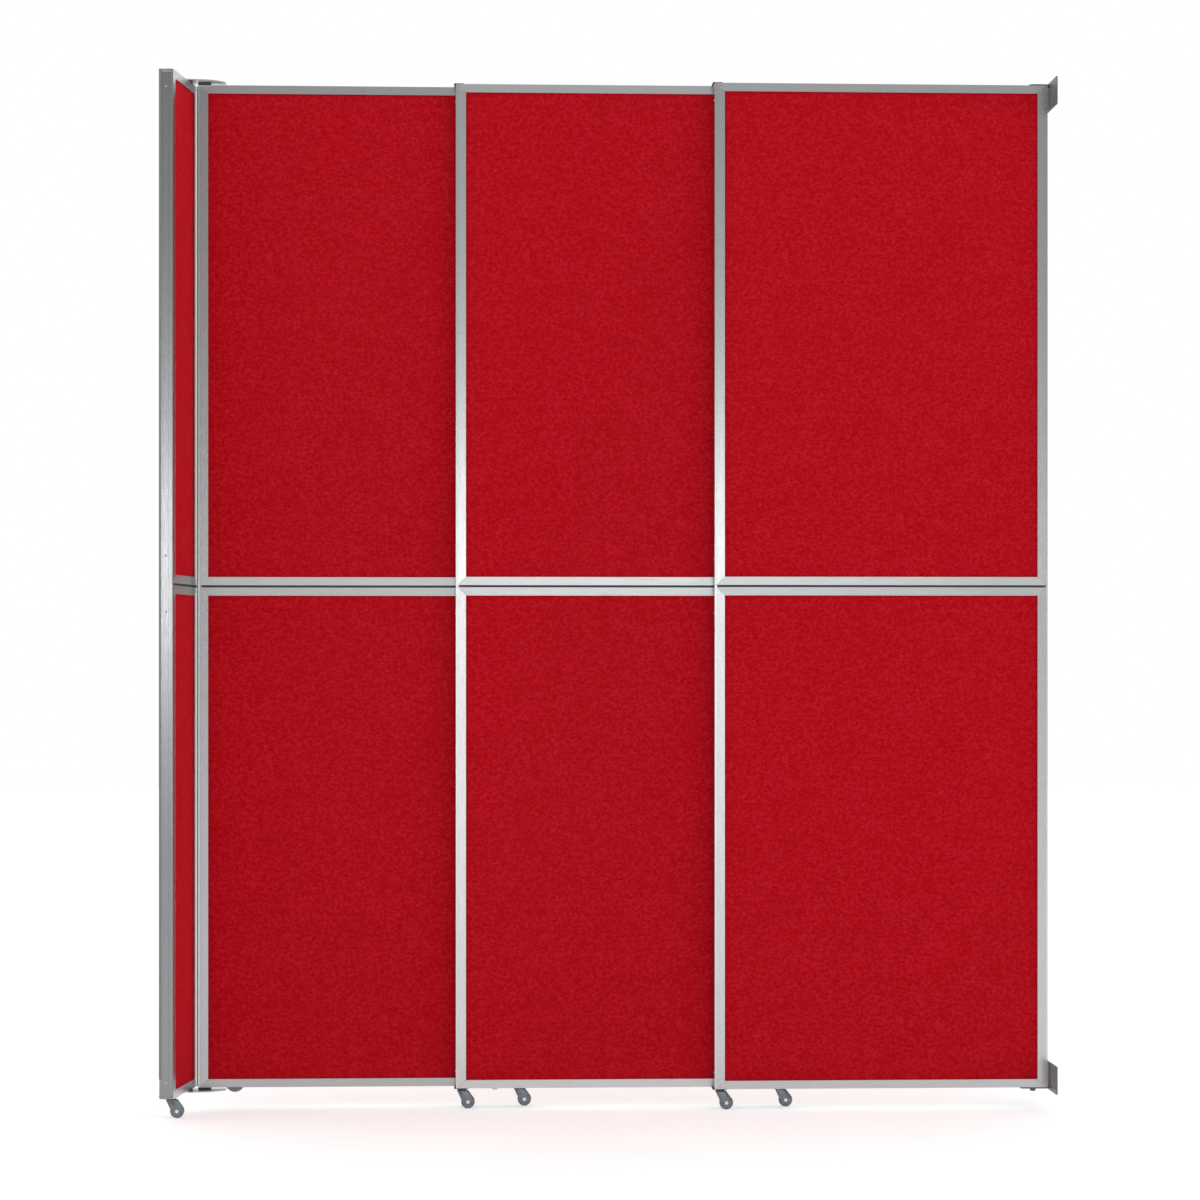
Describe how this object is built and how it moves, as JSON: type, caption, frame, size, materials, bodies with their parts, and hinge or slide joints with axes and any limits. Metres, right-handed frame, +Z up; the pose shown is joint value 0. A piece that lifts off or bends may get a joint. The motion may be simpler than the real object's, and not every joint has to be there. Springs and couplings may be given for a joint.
{
  "type": "fabric room divider",
  "caption": "Tall wall-mounted sliding partition of fabric boards in aluminium frames, with telescoping columns, a hinged end panel and swivel casters.",
  "frame": {"origin": "on the floor, midway along the extended length and midway across the depth", "axes": "+X along the partition to the wall, +Y away from the viewer, +Z up"},
  "size_m": [3.2231, 0.3585, 3.746],
  "materials": {
    "frame_aluminium": "satin",
    "red_fabric": "matte",
    "bracket_steel": "satin",
    "guide_plastic": "matte",
    "bush_plastic": "matte",
    "zinc_plate": "satin",
    "caster_steel": "satin",
    "wheel_tyre": "satin",
    "bumper_rubber": "matte",
    "seal_rubber": "matte",
    "shoe_plastic": "matte"
  },
  "bodies": {
    "wall_brackets": {"upper_wall_bracket": "bracket_steel", "lower_wall_bracket": "bracket_steel"},
    "front_column": {"front_lower_frame": "frame_aluminium", "front_upper_frame": "frame_aluminium", "front_lower_board": "red_fabric", "front_upper_board": "red_fabric", "front_edge_strips": "frame_aluminium", "front_joining_key": "frame_aluminium", "wall_pivot_bushes": "bush_plastic", "front_upper_guide": "guide_plastic", "front_lower_guide": "guide_plastic", "front_left_caster_mount": "caster_steel"},
    "middle_column": {"middle_lower_frame": "frame_aluminium", "middle_upper_frame": "frame_aluminium", "middle_lower_board": "red_fabric", "middle_upper_board": "red_fabric", "middle_edge_strips": "frame_aluminium", "middle_joining_key": "frame_aluminium", "middle_upper_guides": "guide_plastic", "middle_left_lower_guide": "guide_plastic", "middle_right_lower_guide": "guide_plastic", "middle_slide_stop": "zinc_plate", "middle_left_caster_mount": "caster_steel", "middle_right_caster_mount": "caster_steel"},
    "rear_column": {"rear_lower_frame": "frame_aluminium", "rear_upper_frame": "frame_aluminium", "rear_lower_board": "red_fabric", "rear_upper_board": "red_fabric", "rear_edge_strips": "frame_aluminium", "rear_joining_key": "frame_aluminium", "rear_upper_guide": "guide_plastic", "rear_lower_guide": "guide_plastic", "rear_slide_bumper": "bumper_rubber", "upper_corner_plate": "zinc_plate", "lower_corner_plate": "zinc_plate", "rear_right_caster_mount": "caster_steel"},
    "end_panel": {"end_lower_frame": "frame_aluminium", "end_upper_frame": "frame_aluminium", "end_lower_board": "red_fabric", "end_upper_board": "red_fabric", "end_edge_strips": "frame_aluminium", "corner_pivot_bushes": "bush_plastic", "end_seal_strip": "seal_rubber", "end_post_caps": "shoe_plastic", "end_caster_mount": "caster_steel"},
    "front_left_caster_swivel_body": {"front_left_caster_fork": "caster_steel", "front_left_caster_axle": "zinc_plate"},
    "front_left_caster_wheel_body": {"front_left_caster_wheel": "wheel_tyre"},
    "middle_left_caster_swivel_body": {"middle_left_caster_fork": "caster_steel", "middle_left_caster_axle": "zinc_plate"},
    "middle_left_caster_wheel_body": {"middle_left_caster_wheel": "wheel_tyre"},
    "middle_right_caster_swivel_body": {"middle_right_caster_fork": "caster_steel", "middle_right_caster_axle": "zinc_plate"},
    "middle_right_caster_wheel_body": {"middle_right_caster_wheel": "wheel_tyre"},
    "rear_right_caster_swivel_body": {"rear_right_caster_fork": "caster_steel", "rear_right_caster_axle": "zinc_plate"},
    "rear_right_caster_wheel_body": {"rear_right_caster_wheel": "wheel_tyre"},
    "end_caster_swivel_body": {"end_caster_fork": "caster_steel", "end_caster_axle": "zinc_plate"},
    "end_caster_wheel_body": {"end_caster_wheel": "wheel_tyre"}
  },
  "joints": [
    {"name": "wall_pivot", "type": "hinge", "parent": "wall_brackets", "child": "front_column", "pos_m": [1.54936, 0.02251, 0], "axis": [0, 0, 1], "range_deg": [-45, 90]},
    {"name": "middle_slide", "type": "slide", "parent": "front_column", "child": "middle_column", "axis": [1, 0, 0], "range_m": [0, 0.76]},
    {"name": "rear_slide", "type": "slide", "parent": "middle_column", "child": "rear_column", "axis": [1, 0, 0], "range_m": [0, 0.76]},
    {"name": "end_panel_hinge", "type": "hinge", "parent": "rear_column", "child": "end_panel", "pos_m": [-1.52864, 0.15601, 0], "axis": [0, 0, -1], "range_deg": [-9, 81]},
    {"name": "front_left_caster_swivel", "type": "hinge", "parent": "front_column", "child": "front_left_caster_swivel_body", "pos_m": [0.40236, 0.02251, 0.06], "axis": [0, 0, 1], "continuous": true},
    {"name": "front_left_caster_roll", "type": "hinge", "parent": "front_left_caster_swivel_body", "child": "front_left_caster_wheel_body", "pos_m": [0.42436, 0.02251, 0.025], "axis": [0, 1, 0], "continuous": true},
    {"name": "middle_left_caster_swivel", "type": "hinge", "parent": "middle_column", "child": "middle_left_caster_swivel_body", "pos_m": [-0.53764, 0.08651, 0.06], "axis": [0, 0, 1], "continuous": true},
    {"name": "middle_left_caster_roll", "type": "hinge", "parent": "middle_left_caster_swivel_body", "child": "middle_left_caster_wheel_body", "pos_m": [-0.51564, 0.08651, 0.025], "axis": [0, 1, 0], "continuous": true},
    {"name": "middle_right_caster_swivel", "type": "hinge", "parent": "middle_column", "child": "middle_right_caster_swivel_body", "pos_m": [0.62536, 0.08651, 0.06], "axis": [0, 0, 1], "continuous": true},
    {"name": "middle_right_caster_roll", "type": "hinge", "parent": "middle_right_caster_swivel_body", "child": "middle_right_caster_wheel_body", "pos_m": [0.64736, 0.08651, 0.025], "axis": [0, 1, 0], "continuous": true},
    {"name": "rear_right_caster_swivel", "type": "hinge", "parent": "rear_column", "child": "rear_right_caster_swivel_body", "pos_m": [-0.33064, 0.15051, 0.06], "axis": [0, 0, 1], "continuous": true},
    {"name": "rear_right_caster_roll", "type": "hinge", "parent": "rear_right_caster_swivel_body", "child": "rear_right_caster_wheel_body", "pos_m": [-0.30864, 0.15051, 0.025], "axis": [0, 1, 0], "continuous": true},
    {"name": "end_caster_swivel", "type": "hinge", "parent": "end_panel", "child": "end_caster_swivel_body", "pos_m": [-1.57522, -0.10289, 0.06], "axis": [0, 0, 1], "continuous": true},
    {"name": "end_caster_roll", "type": "hinge", "parent": "end_caster_swivel_body", "child": "end_caster_wheel_body", "pos_m": [-1.55322, -0.10289, 0.025], "axis": [0, 1, 0], "continuous": true}
  ]
}
